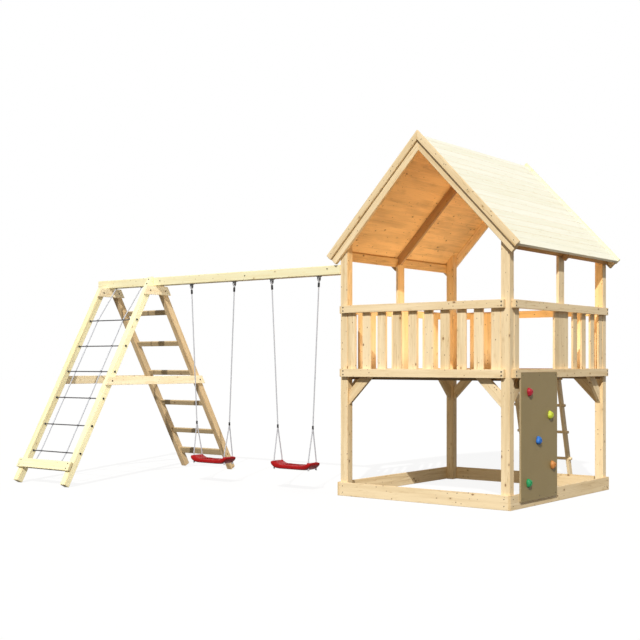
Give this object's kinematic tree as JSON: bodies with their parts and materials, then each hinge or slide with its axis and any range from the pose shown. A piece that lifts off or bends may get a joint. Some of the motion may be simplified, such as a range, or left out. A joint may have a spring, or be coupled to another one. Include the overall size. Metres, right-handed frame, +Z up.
{
  "type": "play tower with swing",
  "caption": "Wooden play tower with a pitched roof, railings, sandbox, climbing wall, ladder and a swing beam carried by a climbing frame with rungs and a rope net.",
  "frame": {"origin": "on the ground under the middle of the whole object's box", "axes": "+X along the swing beam, from the climbing frame to the tower; +Y to the rear, where the ladder is; +Z up"},
  "size_m": [5.4978, 3.694, 3.417],
  "materials": {
    "pine": "planed, unpainted",
    "roof_pine": "planed, unpainted",
    "rafter_pine": "sawn, unpainted",
    "wall_panel": "smooth film-faced panel",
    "rope": "laid rope",
    "zinc_steel": "zinc plated",
    "seat_plastic": "moulded",
    "hold_red": "moulded",
    "hold_yellow": "moulded",
    "hold_blue": "moulded",
    "hold_orange": "moulded",
    "hold_green": "moulded"
  },
  "bodies": {
    "frame": {"bargeboards_front": "pine", "bargeboards_rear": "pine", "climbing_wall": "wall_panel", "cross_inner": "pine", "cross_outer": "pine", "deck": "pine", "eave_front_left": "pine", "eave_front_right": "pine", "eave_rear_left": "pine", "eave_rear_right": "pine", "hanger_left_inner": "zinc_steel", "hanger_left_outer": "zinc_steel", "hanger_right_inner": "zinc_steel", "hanger_right_outer": "zinc_steel", "hold_blue": "hold_blue", "hold_green": "hold_green", "hold_orange": "hold_orange", "hold_red": "hold_red", "hold_yellow": "hold_yellow", "knee_front_left_across": "pine", "knee_front_left_along": "pine", "knee_front_right_across": "pine", "knee_front_right_along": "pine", "knee_rear_left_across": "pine", "knee_rear_left_along": "pine", "knee_rear_right_across": "pine", "knee_rear_right_along": "pine", "ladder": "pine", "net_foot_board": "pine", "net_leg_inner": "pine", "net_leg_outer": "pine", "post_front_left": "pine", "post_front_right": "pine", "post_rear_left": "pine", "post_rear_right": "pine", "rafters_front": "rafter_pine", "rafters_middle": "rafter_pine", "rafters_rear": "rafter_pine", "railing_front": "pine", "railing_left": "pine", "railing_rear": "pine", "railing_right": "pine", "roof_left": "roof_pine", "roof_right": "roof_pine", "rope_net": "rope", "rung_ladder": "pine", "sandbox_front": "pine", "sandbox_left": "pine", "sandbox_rear": "pine", "sandbox_right": "pine", "swing_beam": "pine", "tie_inner": "pine", "tie_outer": "pine"},
    "swing_left": {"seat_left": "seat_plastic", "rope_left_outer": "rope", "rope_left_inner": "rope"},
    "swing_right": {"seat_right": "seat_plastic", "rope_right_outer": "rope", "rope_right_inner": "rope"}
  },
  "joints": [
    {"name": "swing_left_hinge", "type": "hinge", "parent": "frame", "child": "swing_left", "pos_m": [-0.95092, -0.55025, 2.108], "axis": [1, 0, 0], "range_deg": [-60, 60]},
    {"name": "swing_right_hinge", "type": "hinge", "parent": "frame", "child": "swing_right", "pos_m": [0.18108, -0.55025, 2.108], "axis": [1, 0, 0], "range_deg": [-60, 60]}
  ]
}
